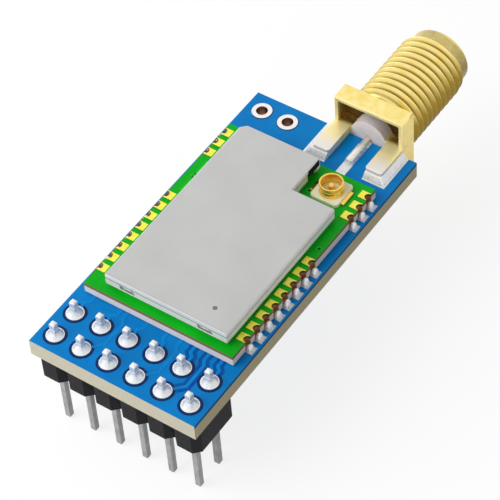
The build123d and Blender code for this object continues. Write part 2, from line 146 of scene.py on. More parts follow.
def board_finish(name, board, plies, mask, mask_shade, resin, glass, lip, lip_colour, long_edge_painted_shade=None):
    """Printed board: mask on its faces, plies and a lip on its cut edges, and maybe painted shade on its
    long ones.
    """
    finish, tree, shader = new_finish(name, mask, specular=0.12)
    low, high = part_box(board)
    place = place_on(tree)
    clouds = spread(tree, mottle(tree, place, 3.0 * mm, 4.0), 0.35, 0.7)
    printed = blended(tree, clouds, mask_shade, mask)
    height = axis_of(tree, place, "Z")
    ply_turns = 2.0 * math.pi * plies / (high.z - low.z)
    ply = worked_out(tree, "SINE", worked_out(tree, "MULTIPLY", height, ply_turns))
    fibres = mottle(tree, place_on(tree, (1.0, 1.0, 6.0)), 0.18 * mm)
    layers = worked_out(tree, "ADD", worked_out(tree, "MULTIPLY", ply, 0.2), fibres)
    woven = spread(tree, layers, 0.3, 0.75)
    cut = blended(tree, woven, resin, glass)
    at_lip = spread(tree, height, high.z - lip - 0.05 * mm, high.z - lip)
    normal = tree.nodes.new("ShaderNodeNewGeometry").outputs["Normal"]
    # Painted shade: the long edges, left and right, are coloured browner and darker than the front and
    # back.
    if long_edge_painted_shade:
        long_edge = spread(tree, worked_out(tree, "ABSOLUTE", axis_of(tree, normal, "X")), 0.6, 0.8)
        cut = blended(tree, long_edge, cut, blended(tree, woven, *long_edge_painted_shade))
        at_lip = worked_out(tree, "MULTIPLY", at_lip, long_edge)
    cut = blended(tree, at_lip, cut, lip_colour)
    flat = spread(tree, worked_out(tree, "ABSOLUTE", axis_of(tree, normal, "Z")), 0.6, 0.8)
    tree.links.new(blended(tree, flat, cut, printed), shader.inputs["Base Color"])
    tree.links.new(spread(tree, flat, 0.0, 1.0, 0.8, 0.3), shader.inputs["Roughness"])
    relief(tree, shader, mottle(tree, place, 0.4 * mm), 0.008 * mm)
    return finish


def dress(finish, *names):
    """Gives solids of the frame their finish."""
    for name in names:
        nodes[name].data.materials.clear()
        nodes[name].data.materials.append(finish)


blue_mask = board_finish(
    "blue_mask", "carrier_board", plies=8, mask=(0.0, 0.205, 0.57), mask_shade=(0.0, 0.175, 0.50),
    resin=(0.70, 0.67, 0.54), glass=(0.56, 0.53, 0.40), lip=0.28 * mm, lip_colour=(0.01, 0.10, 0.26),
    long_edge_painted_shade=((0.62, 0.55, 0.38), (0.42, 0.37, 0.23)),
)
dress(blue_mask, "carrier_board")
board_low, board_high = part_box("carrier_board")


# Tracks are the copper left standing when the rest is etched away, and show through the mask as low
# strips. On top they run from the header's two rows of pins to under the radio board.
def new_piece(name, mesh, finish, slot, *replaced):
    """Piece with one mesh and finish, which rides on the model and may stand for solids of it."""
    mesh.materials.clear()
    mesh.materials.append(finish)
    piece = bpy.data.objects.new(name, mesh)
    bpy.context.scene.collection.objects.link(piece)
    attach(piece, "root")
    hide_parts(*replaced)
    return piece


sharp_angle = math.radians(38.0)


def mesh_of(shape, name, smooth=True):
    """Mesh of a finished bmesh, smooth except over sharp edges."""
    bmesh.ops.recalc_face_normals(shape, faces=shape.faces)
    mesh = bpy.data.meshes.new(name)
    shape.to_mesh(mesh)
    shape.free()
    mesh.polygons.foreach_set("use_smooth", [smooth] * len(mesh.polygons))
    if smooth:
        mesh.set_sharp_from_angle(angle=sharp_angle)
    return mesh


def join_rings(shape, rings):
    """Adds the faces between each ring of points and the next."""
    count = len(rings[0])
    for first, second in zip(rings, rings[1:]):
        for k in range(count):
            shape.faces.new((first[k], first[(k + 1) % count], second[(k + 1) % count], second[k]))


def lay_track(shape, path, width, level, height):
    """Adds a flat strip along a path in plan, in millimetres, mitred at its bends."""
    path = [Vector(point) * mm for point in path]
    rings = []
    for number, point in enumerate(path):
        runs = [path[k + 1] - path[k] for k in (number - 1, number) if 0 <= k < len(path) - 1]
        normals = [Vector((-run.y, run.x)).normalized() for run in runs]
        across = sum(normals, Vector((0.0, 0.0))).normalized()
        reach = across * (width / 2 / across.dot(normals[0]))
        crown = reach * 0.8
        profile = ((reach, level), (crown, level + height), (-crown, level + height), (-reach, level))
        rings.append([shape.verts.new((*(point + side), z)) for side, z in profile])
    join_rings(shape, rings)
    shape.faces.new(rings[0])
    shape.faces.new(rings[-1])


copper_height = 0.03 * mm
track_width = 0.3 * mm
pin_pitch = 2.54
columns = [(k - 2.5) * pin_pitch for k in range(6)]
back_start = 2.05
back_step = 0.35
front_start = Vector((0.55, -0.72))
front_step = 0.3
tracks_end = 3.9


def back_track(column, trim=0.0):
    """Path from a pin of the back row, with a small step to the side; its start may be trimmed."""
    passed = column + (back_step if column < 0 else -back_step)
    return ((column, back_start + trim), (column, 2.5), (passed, 2.85), (passed, tracks_end))


def front_track(column, trim=0.0):
    """Path from a pin of the front row, which passes between two pins of the back row."""
    start = (column + front_start.x + trim, front_start.y + trim)
    between = column + pin_pitch / 2
    passed = between - front_step
    return (start, (between, 0.0), (between, 2.3), (passed, 2.75), (passed, tracks_end))


masked_copper, tree, shader = new_finish("masked_copper", (0.0, 0.20, 0.56), roughness=0.3, specular=0.12)
tint = spread(tree, mottle(tree, place_on(tree), 1.5 * mm), 0.3, 0.7)
tree.links.new(blended(tree, tint, (0.0, 0.195, 0.55), (0.0, 0.235, 0.64)), shader.inputs["Base Color"])
upper_tracks = bmesh.new()
for column in columns:
    lay_track(upper_tracks, back_track(column), track_width, board_high.z, copper_height)
for column in (columns[1], columns[3], columns[4]):
    lay_track(upper_tracks, front_track(column), track_width, board_high.z, copper_height)
upper_mesh = mesh_of(upper_tracks, "carrier_tracks_top", False)
new_piece("carrier_tracks_top", upper_mesh, masked_copper, "carrier_mask")


# Beside the last tracks on the right a wider strip of copper is etched away. The mask lies on bare
# resin there, and looks darker.
etched_gap, tree, shader = new_finish("etched_gap", (0.0, 0.07, 0.33), roughness=0.35, specular=0.12)
tint = spread(tree, mottle(tree, place_on(tree), 0.8 * mm), 0.3, 0.7)
tree.links.new(blended(tree, tint, (0.0, 0.06, 0.29), (0.0, 0.10, 0.38)), shader.inputs["Base Color"])
gap_width = track_width + 0.55 * mm
gap_height = copper_height * 0.3
etched = bmesh.new()
for path in (front_track(columns[4], 0.14), back_track(columns[4], 0.15), back_track(columns[5], 0.15)):
    lay_track(etched, path, gap_width, board_high.z, gap_height)
new_piece("etched_gaps", mesh_of(etched, "etched_gaps", False), etched_gap, "carrier_mask")


# The lower face has tracks of its own, under the same mask. Drilled holes, plated with copper and
# filled, take them and the ground copper through the board.
def point_round(shape, centre, radius, angle, z):
    """Adds a point at a radius and an angle round an upright axis."""
    return shape.verts.new((centre[0] + radius * math.cos(angle), centre[1] + radius * math.sin(angle), z))


def turn_up(shape, centre, profile, count):
    """Adds a turned form about an upright axis; a profile of rings closes on itself."""
    angles = [2 * math.pi * k / count for k in range(count)]
    rings = [[point_round(shape, centre, radius, angle, z) for angle in angles] for radius, z in profile]
    join_rings(shape, rings + rings[:1])
    bmesh.ops.remove_doubles(shape, verts=shape.verts, dist=1e-9)


lower_level = board_low.z - copper_height
lower_start = 2.7
lower_bend = 5.0
supply_width = 0.5 * mm
lower_tracks = bmesh.new()
hole_places = []
for column, end_x, end_y in (
    (columns[0], -6.9, 26.2), (columns[2], -2.6, 21.0), (columns[4], 1.2, 19.0), (columns[5], 6.7, 14.0),
):
    bend = abs(end_x - column)
    path = ((column, lower_start), (column, lower_bend), (end_x, lower_bend + bend), (end_x, end_y))
    lay_track(lower_tracks, path, track_width, lower_level, copper_height)
    hole_places.append((end_x, end_y))
for column, end_y in ((columns[1], 12.0), (columns[3], 6.4)):
    path = ((column, lower_start), (column, end_y))
    lay_track(lower_tracks, path, supply_width, lower_level, copper_height)
    hole_places.append((column, end_y))
lower_mesh = mesh_of(lower_tracks, "carrier_tracks_bottom", False)
new_piece("carrier_tracks_bottom", lower_mesh, masked_copper, "carrier_mask")

ground_places = [(-0.3, 26.6), (-0.3, 25.2), (-1.9, 24.4), (-4.6, 24.2)]
hole_rim = 0.30 * mm
hole_crest = 0.27 * mm
hole_dimple = 0.13 * mm
filled_holes = bmesh.new()
for x, y in hole_places + ground_places:
    for level, rise in ((board_low.z, -copper_height), (board_high.z, copper_height)):
        profile = (
            (0.0, level), (hole_rim, level), (hole_crest, level + rise),
            (hole_dimple, level + rise), (0.0, level + rise / 3),
        )
        turn_up(filled_holes, (x * mm, y * mm), profile, 20)
holes_mesh = mesh_of(filled_holes, "carrier_filled_holes")
new_piece("carrier_filled_holes", holes_mesh, masked_copper, "carrier_mask")


# The mask is printed with openings. It stops short of each pin's land and each spare hole's ring,
# and leaves a narrow ring of bare resin. The ring's near-black colour is partly painted shade round
# the joints.
opening_ring_shade, tree, shader = new_finish("opening_ring_shade", (0.0, 0.02, 0.10), roughness=0.55, specular=0.2)
tint = spread(tree, mottle(tree, place_on(tree), 0.3 * mm), 0.3, 0.7)
tree.links.new(blended(tree, tint, (0.0, 0.012, 0.07), (0.0, 0.026, 0.13)), shader.inputs["Base Color"])


def middle_of(name):
    """Middle of a solid's box."""
    low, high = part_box(name)
    return (low + high) / 2


pin_names = [f"header_pin_{number:02d}" for number in range(1, 13)]
pin_places = [middle_of(name) for name in pin_names]
pin_land = 0.74 * mm
pin_opening = 0.24 * mm
spare_names = ("plated_hole_left", "plated_hole_right")
spare_places = [middle_of(name) for name in spare_names]
spare_low, spare_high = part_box(spare_names[0])
spare_land = (spare_high.x - spare_low.x) / 2
spare_opening = 0.06 * mm
opening_top = board_high.z + 0.01 * mm
openings = [(place, pin_land, pin_land + pin_opening) for place in pin_places]
openings += [(place, spare_land, spare_land + spare_opening) for place in spare_places]
mask_openings = bmesh.new()
for place, inner, outer in openings:
    profile = ((inner, board_high.z), (outer, board_high.z), (outer, opening_top), (inner, opening_top))
    turn_up(mask_openings, place, profile, 40)
new_piece("mask_openings", mesh_of(mask_openings, "mask_openings"), opening_ring_shade, "carrier_mask")


# Copper is plated into each drilled hole and forms a ring round it, levelled with a thin coat of
# solder. The two spare holes at the back stay open.
def upright(tree):
    """Share by which a face stands upright, such as a bore or a wall."""
    normal = tree.nodes.new("ShaderNodeNewGeometry").outputs["Normal"]
    return spread(tree, worked_out(tree, "ABSOLUTE", axis_of(tree, normal, "Z")), 0.8, 0.5)


def solder_finish(name, bright, dull, roughness, bore=None, metallic=1.0):
    """Solder: bright metal, a little frosted where it froze last, over a bore of another colour."""
    finish, tree, shader = new_finish(name, bright, roughness=roughness, metallic=metallic)
    frost = mottle(tree, place_on(tree), 0.3 * mm, 5.0)
    frosted = spread(tree, frost, 0.35, 0.7, roughness * 0.7, roughness * 1.7)
    tree.links.new(frosted, shader.inputs["Roughness"])
    colour = blended(tree, spread(tree, frost, 0.3, 0.65), bright, dull)
    if bore:
        colour = blended(tree, upright(tree), colour, bore)
    tree.links.new(colour, shader.inputs["Base Color"])
    relief(tree, shader, mottle(tree, place_on(tree), 0.5 * mm), 0.02 * mm)
    return finish


levelled = solder_finish("levelled_copper", (0.88, 0.91, 0.90), (0.80, 0.83, 0.82), 0.35, metallic=0.45)
dress(levelled, "header_hole_plating")
hole_copper = solder_finish(
    "levelled_hole_copper", (0.88, 0.87, 0.86), (0.80, 0.79, 0.77), 0.35, bore=(0.34, 0.18, 0.11)
)
dress(hole_copper, *spare_names)


# The header's insulator is one strip of black nylon, moulded with a deep nick between units so
# that a length of it can be snapped off. The mould leaves its edges slightly round.
def rounded(node, radius, segments=2):
    """Welded copy of a solid of the frame, with its sharp edges rounded."""
    shape = bmesh.new()
    shape.from_mesh(nodes[node].data)
    bmesh.ops.remove_doubles(shape, verts=shape.verts, dist=1e-7)
    bmesh.ops.dissolve_limit(
        shape, angle_limit=math.radians(0.5), verts=shape.verts, edges=shape.edges,
        use_dissolve_boundaries=False,
    )
    sharp = [edge for edge in shape.edges if edge.is_manifold and edge.calc_face_angle() > sharp_angle]
    bmesh.ops.bevel(
        shape, geom=sharp, offset=radius, offset_type="OFFSET", segments=segments, profile=0.5,
        affect="EDGES", clamp_overlap=True,
    )
    bmesh.ops.triangulate(shape, faces=[face for face in shape.faces if len(face.verts) > 4])
    return shape


def even_shading(piece):
    """Keeps the flats flat beside rounded edges."""
    even = piece.modifiers.new("even_shading", "WEIGHTED_NORMAL")
    even.keep_sharp = True
    even.weight = 80


nylon, tree, shader = new_finish("black_nylon", (0.014, 0.013, 0.016), roughness=0.5, specular=0.1)
grain = mottle(tree, place_on(tree), 0.15 * mm)
tree.links.new(spread(tree, grain, 0.3, 0.7, 0.42, 0.6), shader.inputs["Roughness"])
relief(tree, shader, grain, 0.012 * mm)
strip = mesh_of(rounded("header_insulator", 0.1 * mm), "insulator_strip")
even_shading(new_piece("insulator_strip", strip, nylon, "header_plastic", "header_insulator"))


# The pins are square drawn wire, cut and swaged to a blunt point at both ends, then plated with tin.
# Drawing leaves fine lines along them, and above the board the hot solder has brightened the tin.
tin, tree, shader = new_finish("tinned_wire", (0.72, 0.72, 0.71), roughness=0.3, metallic=0.4, specular=0.3)
drawn = mottle(tree, place_on(tree, (1.0, 1.0, 0.06)), 0.05 * mm)
tree.links.new(spread(tree, drawn, 0.3, 0.7, 0.22, 0.42), shader.inputs["Roughness"])
worn = spread(tree, mottle(tree, place_on(tree), 0.8 * mm), 0.35, 0.65)
plain = blended(tree, worn, (0.33, 0.33, 0.33), (0.44, 0.44, 0.435))
height = axis_of(tree, place_on(tree), "Z")
wetted = spread(tree, height, board_high.z, board_high.z + 0.3 * mm)
tree.links.new(blended(tree, wetted, plain, (0.82, 0.84, 0.86)), shader.inputs["Base Color"])
relief(tree, shader, drawn, 0.004 * mm)
for name in pin_names:
    wire = mesh_of(rounded(name, 0.04 * mm), name)
    even_shading(new_piece(name.replace("header_pin", "pin_wire"), wire, tin, "pin_metal", name))


# Each pin is soldered from above. The metal wets the whole land and climbs the square wire in a
# hollow cone, no two quite alike.
frozen_solder = solder_finish("frozen_solder", (0.92, 0.93, 0.94), (0.82, 0.83, 0.85), 0.28, metallic=0.45)
pin_low, pin_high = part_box(pin_names[0])
pin_side = pin_high.x - pin_low.x
land_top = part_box("header_hole_plating")[1].z
solder_low, solder_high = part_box("header_solder")
joint_height = solder_high.z - solder_low.z
joint_foot = pin_land - 0.04 * mm
joint_film = 0.03 * mm
around = 40
levels = 12


def wire_reach(angle):
    """Distance from a pin's axis to its square side, at an angle."""
    return pin_side / 2 / max(abs(math.cos(angle)), abs(math.sin(angle)))


chance = random.Random(5)
joints = bmesh.new()
angles = [2 * math.pi * (k + 0.5) / around for k in range(around)]
for place in pin_places:
    climb = joint_height * chance.uniform(0.86, 1.0)
    foot = joint_foot * chance.uniform(0.95, 1.0)
    lopsided = chance.uniform(0.0, 0.25)
    heavy_side = chance.uniform(0.0, 2 * math.pi)
    rings = []
    for level in range(levels + 1):
        share = level / levels
        ring = []
        for angle in angles:
            coat = wire_reach(angle) + joint_film
            hollow = (1 - share) ** (1.9 + lopsided * math.cos(angle - heavy_side))
            radius = coat + (foot - coat) * hollow
            ring.append(point_round(joints, place, radius, angle, land_top + climb * share))
        rings.append(ring)
    top = land_top + climb
    inner = [point_round(joints, place, wire_reach(angle) - joint_film, angle, top) for angle in angles]
    rings.append(inner)
    join_rings(joints, rings)
    joints.faces.new(rings[0])
    joints.faces.new(rings[-1])
new_piece("pin_joints", mesh_of(joints, "pin_joints"), frozen_solder, "solder", "header_solder")


# The radio board is a thinner board of the same glass and resin, with a green mask. It stands on
# lands of the carrier, which reach out past its edge. Two tracks and three small open holes show.
# The holes are shallow dimples; their bottoms and the tracks' lowest sides are painted near-black as shade.
green_mask = board_finish(
    "green_mask", "module_board", plies=6, mask=(0.003, 0.43, 0.012), mask_shade=(0.002, 0.36, 0.010),
    resin=(0.80, 0.74, 0.74), glass=(0.64, 0.58, 0.58), lip=0.32 * mm, lip_colour=(0.20, 0.17, 0.07),
)
dress(green_mask, "module_board")
dull_lands = solder_finish("dull_lands", (0.58, 0.58, 0.59), (0.48, 0.48, 0.49), 0.45)
dress(dull_lands, "module_lands_left", "module_lands_right")
module_low, module_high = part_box("module_board")
green_copper, tree, shader = new_finish(
    "green_masked_copper", (0.01, 0.5, 0.02), roughness=0.3, specular=0.12
)
tint = spread(tree, mottle(tree, place_on(tree), 1.0 * mm), 0.3, 0.7)
masked = blended(tree, tint, (0.006, 0.45, 0.015), (0.01, 0.54, 0.025))
height = axis_of(tree, place_on(tree), "Z")
# Painted shade: near-black low down, in the dimples of the open holes and on the tracks' lowest sides.
low_painted_shade = spread(tree, height, module_high.z + copper_height * 0.6, module_high.z + copper_height * 0.4)
tree.links.new(blended(tree, low_painted_shade, masked, (0.0, 0.06, 0.005)), shader.inputs["Base Color"])
thin_width = 0.2 * mm
feed_track = ((2.6, 22.98), (2.6, 22.2), (2.95, 21.85))
side_track = ((-6.2, 19.0), (-6.2, 15.2))
open_hole_places = ((6.63, 15.84), (-6.2, 17.1), (2.6, 20.6))
open_hole_mouth = 0.15 * mm
ring_top = module_high.z + copper_height
hole_bottom = module_high.z + copper_height / 3
profile = (
    (0.0, module_high.z), (hole_rim, module_high.z), (hole_crest, ring_top),
    (open_hole_mouth, ring_top), (hole_dimple, hole_bottom), (0.0, hole_bottom),
)
module_tracks = bmesh.new()
for path in (feed_track, side_track):
    lay_track(module_tracks, path, thin_width, module_high.z, copper_height)
for x, y in open_hole_places:
    turn_up(module_tracks, (x * mm, y * mm), profile, 20)
new_piece("module_tracks", mesh_of(module_tracks, "module_tracks", False), green_copper, "module_mask")


# Half holes in the board's long edges are lined with copper and flashed with gold, and each has a
# pad above and below. The mask covers the pad's inner end. The lining is painted dark brown as
# shade inside the half holes, darkest near the top.
gold_flash, tree, shader = new_finish("gold_flash", (0.90, 0.84, 0.07), roughness=0.35, metallic=0.6)
scuffs = mottle(tree, place_on(tree), 0.25 * mm, 4.0)
tree.links.new(spread(tree, scuffs, 0.3, 0.7, 0.25, 0.5), shader.inputs["Roughness"])
bare_pad = blended(tree, spread(tree, scuffs, 0.3, 0.7), (0.86, 0.76, 0.05), (0.94, 0.90, 0.12))
mask_edge = module_high.x - 0.8 * mm
from_middle = worked_out(tree, "ABSOLUTE", axis_of(tree, place_on(tree), "X"))
unmasked = spread(tree, from_middle, mask_edge, mask_edge + 0.02 * mm)
flashed = blended(tree, unmasked, (0.003, 0.40, 0.012), bare_pad)
height = axis_of(tree, place_on(tree), "Z")
# Painted shade in the half holes: the lining is dark brown, darkest near the top.
high_up = spread(tree, height, module_high.z - 0.28 * mm, module_high.z - 0.12 * mm)
lining_painted_shade = blended(tree, high_up, (0.50, 0.27, 0.12), (0.10, 0.05, 0.012))
tree.links.new(blended(tree, upright(tree), flashed, lining_painted_shade), shader.inputs["Base Color"])
relief(tree, shader, scuffs, 0.004 * mm)
dress(gold_flash, "edge_contacts_left", "edge_contacts_right")


# The chip, its crystal, the antenna switch and the tiny chip parts stand on the radio board under
# the shield: moulded epoxy, a metal can and fired ceramic.
epoxy, tree, shader = new_finish("moulded_epoxy", (0.02, 0.02, 0.022), roughness=0.6)
relief(tree, shader, mottle(tree, place_on(tree), 0.05 * mm), 0.006 * mm)
dress(epoxy, "radio_chip", "antenna_switch")
ceramic, tree, shader = new_finish("fired_ceramic", (0.35, 0.25, 0.17), roughness=0.4)
fired = mottle(tree, place_on(tree), 0.2 * mm)
tree.links.new(blended(tree, fired, (0.28, 0.19, 0.12), (0.42, 0.31, 0.22)), shader.inputs["Base Color"])
relief(tree, shader, fired, 0.004 * mm)
dress(ceramic, "capacitors", "inductors")


# The shield is nickel silver sheet in two pieces: a fence soldered to the radio board, and a pressed
# lid that closes over it. Rolling leaves a soft grey with faint lines. The walls are a paler grey than
# the top as painted light, and a dark band round the lid's wall is a painted shadow line.
lid_low, lid_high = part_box("shield_lid")
shadow_line_level = lid_high.z - 0.5 * mm
nickel_silver, tree, shader = new_finish("nickel_silver", (0.56, 0.56, 0.55), roughness=0.42, metallic=1.0)
rolled = mottle(tree, place_on(tree, (1.0, 0.03, 1.0)), 0.12 * mm)
cloudy = mottle(tree, place_on(tree), 4.0 * mm)
walls = upright(tree)
scuffed = spread(tree, worked_out(tree, "ADD", rolled, cloudy), 0.7, 1.3, 0.38, 0.5)
rougher = worked_out(tree, "ADD", scuffed, worked_out(tree, "MULTIPLY", walls, 0.2))
tree.links.new(rougher, shader.inputs["Roughness"])
tree.links.new(spread(tree, walls, 0.0, 1.0, 1.0, 0.25), shader.inputs["Metallic"])
sheet_grey = blended(tree, spread(tree, cloudy, 0.35, 0.65), (0.51, 0.51, 0.505), (0.545, 0.545, 0.535))
# Painted light: the walls are coloured a paler grey than the top.
wall_grey_painted_light = blended(tree, rolled, (0.74, 0.74, 0.74), (0.84, 0.84, 0.83))
height = axis_of(tree, place_on(tree), "Z")
# Painted shadow: a dark line round the wall, a little below the lid's top.
from_shadow_line = worked_out(tree, "ABSOLUTE", worked_out(tree, "SUBTRACT", height, shadow_line_level))
painted_shadow_line = spread(tree, from_shadow_line, 0.03 * mm, 0.08 * mm, 0.75, 0.0)
wall_grey_painted_light = blended(tree, painted_shadow_line, wall_grey_painted_light, (0.22, 0.22, 0.22))
tree.links.new(blended(tree, walls, sheet_grey, wall_grey_painted_light), shader.inputs["Base Color"])
relief(tree, shader, rolled, 0.0015 * mm)
dress(nickel_silver, "crystal")
for node, radius in (("shield_frame", 0.03), ("shield_lid", 0.04)):
    sheet = mesh_of(rounded(node, radius * mm), node)
    even_shading(new_piece(node.replace("shield", "pressed"), sheet, nickel_silver, "shield_sheet", node))


# The lid's wall has a small window beside the left-out corner, cut before the sheet is folded. No
# window is cut here: a thin near-black plate on the wall is painted shade for the dark inside behind it.
corner_size = 3.95 * mm
corner_wall = lid_high.x - corner_size
window_size = Vector((0.015, 1.55, 0.62)) * mm
window_back = lid_high.y - 0.13 * mm
window_top = lid_high.z - 0.12 * mm
window_low = Vector((corner_wall, window_back - window_size.y, window_top - window_size.z))
# Painted shade: the plate is near-black.
window_painted_shade, tree, shader = new_finish("window_painted_shade", (0.006, 0.008, 0.006), roughness=0.8, specular=0.1)
window_shade_mottle = mottle(tree, place_on(tree), 0.2 * mm)
window_shade_colour = blended(tree, window_shade_mottle, (0.004, 0.006, 0.004), (0.010, 0.014, 0.010))
tree.links.new(window_shade_colour, shader.inputs["Base Color"])
window = bmesh.new()
bmesh.ops.create_cube(window, size=1.0)
for vertex in window.verts:
    share = vertex.co + Vector((0.5, 0.5, 0.5))
    vertex.co = window_low + share * window_size
new_piece("lid_window_shade", mesh_of(window, "lid_window_shade", False), window_painted_shade, "shield_sheet")


# A small round dot is pressed and inked in the lid's front right corner. It marks the end where the
# count of the contacts starts.
inked, tree, shader = new_finish("inked_dot", (0.14, 0.14, 0.14), roughness=0.6)
speckle = mottle(tree, place_on(tree), 0.08 * mm)
tree.links.new(blended(tree, speckle, (0.10, 0.10, 0.10), (0.22, 0.22, 0.21)), shader.inputs["Base Color"])
dot_inset = Vector((2.17, 1.64)) * mm
dot_place = (lid_high.x - dot_inset.x, lid_low.y + dot_inset.y)
dot_radius = 0.2 * mm
dot_low = lid_high.z - 0.022 * mm
dot_top = lid_high.z + 0.002 * mm
dot = bmesh.new()
turn_up(dot, dot_place, ((0.0, dot_low), (dot_radius, dot_low), (dot_radius, dot_top), (0.0, dot_top)), 24)
new_piece("first_contact_dot", mesh_of(dot, "first_contact_dot", False), inked, "shield_sheet")


# The small receptacle takes a push-fit plug: a grooved brass ring with two ground tabs, gold-plated,
# held in a cream moulded base round its centre pin.
gold_plate, tree, shader = new_finish("gold_plate", (0.91, 0.58, 0.12), roughness=0.28, metallic=1.0)
drift = mottle(tree, place_on(tree), 0.6 * mm, 4.0)
tree.links.new(spread(tree, drift, 0.3, 0.7, 0.2, 0.36), shader.inputs["Roughness"])
plated = blended(tree, spread(tree, drift, 0.3, 0.7), (0.88, 0.53, 0.09), (0.95, 0.66, 0.17))
tree.links.new(plated, shader.inputs["Base Color"])
relief(tree, shader, mottle(tree, place_on(tree), 0.12 * mm), 0.002 * mm)
cream, tree, shader = new_finish("cream_polymer", (0.84, 0.82, 0.56), roughness=0.5)
cloud = mottle(tree, place_on(tree), 0.5 * mm)
tree.links.new(blended(tree, cloud, (0.78, 0.75, 0.48), (0.88, 0.86, 0.62)), shader.inputs["Base Color"])
relief(tree, shader, mottle(tree, place_on(tree), 0.1 * mm), 0.006 * mm)
for node, name, radius, finish, slot in (
    ("snap_base", "receptacle_base", 0.03, cream, "cream_plastic"),
    ("snap_shell", "receptacle_ring", 0.02, gold_plate, "gold_finish"),
    ("snap_contact", "receptacle_pin", 0.02, gold_plate, "gold_finish"),
):
    even_shading(new_piece(name, mesh_of(rounded(node, radius * mm), name), finish, slot, node))


# The radio board is soldered to the carrier's lands. A round bank of metal stands outside each half
# hole, and a little is drawn into it.
contact_pitch = 1.27 * mm
front_contacts = 8
back_contacts = 3
front_inset = 2.0 * mm
back_inset = 1.0 * mm
contact_rows = [module_low.y + front_inset + k * contact_pitch for k in range(front_contacts)]
contact_rows += [module_high.y - back_inset - k * contact_pitch for k in range(back_contacts)]
module_land_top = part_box("module_lands_right")[1].z
bank_offset = 0.2 * mm
bank_middle = module_high.x + bank_offset
bank_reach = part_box("module_solder_right")[1].x - module_high.x
bank_inside = 0.32 * mm
bank_half_width = 0.37 * mm
hole_half_width = 0.33 * mm
bank_crest = 0.62 * mm
squareness = 2.6
around = 32
levels = 8
for side, solid, name in (
    (1, "module_solder_right", "contact_joints_right"),
    (-1, "module_solder_left", "contact_joints_left"),
):
    banks = bmesh.new()
    for y in contact_rows:
        crest = bank_crest * chance.uniform(0.88, 1.12)
        reach = bank_reach * chance.uniform(0.9, 1.0) - bank_offset
        middle = banks.verts.new((side * bank_middle, y, module_land_top + crest))
        rings = []
        for level in range(1, levels + 1):
            share = level / levels
            z = module_land_top + crest * (1 - share**2.4) ** 0.6
            ring = []
            for k in range(around):
                outward = math.cos(2 * math.pi * k / around)
                sideways = math.sin(2 * math.pi * k / around)
                length, width = (reach, bank_half_width) if outward > 0 else (bank_inside, hole_half_width)
                rim = abs(outward / length) ** squareness + abs(sideways / width) ** squareness
                edge = share * rim ** (-1 / squareness)
                x = side * (bank_middle + outward * edge)
                ring.append(banks.verts.new((x, y + sideways * edge, z)))
            rings.append(ring)
        foot = [banks.verts.new((vertex.co.x, vertex.co.y, module_land_top)) for vertex in rings[-1]]
        rings.append(foot)
        for k in range(around):
            banks.faces.new((middle, rings[0][k], rings[0][(k + 1) % around]))
        join_rings(banks, rings)
        banks.faces.new(foot)
    bmesh.ops.remove_doubles(banks, verts=banks.verts, dist=1e-8)
    new_piece(name, mesh_of(banks, name), frozen_solder, "solder", solid)


# A thin dark film on the carrier's narrow strip beside the left row of contacts is painted shade
# under the half holes. It ends a little before and after each group.
strip_shade, tree, shader = new_finish("painted_strip_shade", (0.07, 0.06, 0.01), roughness=0.3, specular=0.3)
strip_shade_mottle = mottle(tree, place_on(tree), 0.3 * mm)
strip_shade_colour = blended(tree, strip_shade_mottle, (0.03, 0.035, 0.005), (0.12, 0.10, 0.02))
tree.links.new(strip_shade_colour, shader.inputs["Base Color"])
relief(tree, shader, strip_shade_mottle, 0.01 * mm)
film_edge = board_low.x + 0.02 * mm
film_middle = (film_edge + module_low.x) / 2 / mm
film_width = module_low.x - film_edge
film_before = 0.4
film_after = 0.95
film_height = 0.015 * mm
left_strip_shade = bmesh.new()
for first_y, last_y in (
    (contact_rows[0], contact_rows[front_contacts - 1]), (contact_rows[-1], contact_rows[front_contacts]),
):
    ends = ((film_middle, first_y / mm - film_before), (film_middle, last_y / mm + film_after))
    lay_track(left_strip_shade, ends, film_width, board_high.z, film_height)
new_piece("left_strip_shade", mesh_of(left_strip_shade, "left_strip_shade", False), strip_shade, "carrier_mask")


# The antenna track and the lands under the big connector are copper of the carrier board. The mask
# leaves them bare, and they are levelled with solder.
dress(levelled, "antenna_trace", "ground_lands_top", "ground_lands_bottom")


# The screw-on connector's body is turned and milled from one piece of brass and gold-plated: four
# legs that straddle the board, a square flange with a milled pocket, and a threaded barrel.
body_low, body_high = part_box("coax_body")
contact_low, contact_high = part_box("coax_contact")
axis_x = (contact_low.x + contact_high.x) / 2
axis_z = (contact_low.z + contact_high.z) / 2
nose_end = body_high.y
nose_length = 1.2 * mm
nose_radius = 2.7 * mm
nose_chamfer = 0.2 * mm
mouth_radius = 2.3 * mm
mouth_depth = 1.9 * mm
mouth_chamfer = 0.12 * mm
bore_radius = 2.05 * mm
thread_length = 7.9 * mm
thread_end = nose_end - nose_length
thread_start = thread_end - thread_length
barrel_start = thread_start - 0.2 * mm
bore_start = thread_start - 0.3 * mm
crest_radius = 3.1 * mm
root_radius = 2.74 * mm
thread_pitch = 25.4 / 36 * mm
run_out = 0.4 * mm
around = 96


def on_barrel(radius, y, angle):
    """Point round the connector's axis."""
    return (axis_x + radius * math.sin(angle), y, axis_z + radius * math.cos(angle))


body = rounded("coax_body", 0.025 * mm, 1)
cut = bmesh.ops.bisect_plane(
    body, geom=body.verts[:] + body.edges[:] + body.faces[:], dist=1e-8,
    plane_co=(0.0, barrel_start, 0.0), plane_no=(0.0, 1.0, 0.0), clear_outer=True,
)
rim = [item for item in cut["geom_cut"] if isinstance(item, bmesh.types.BMEdge)]
bmesh.ops.bridge_loops(body, edges=rim)

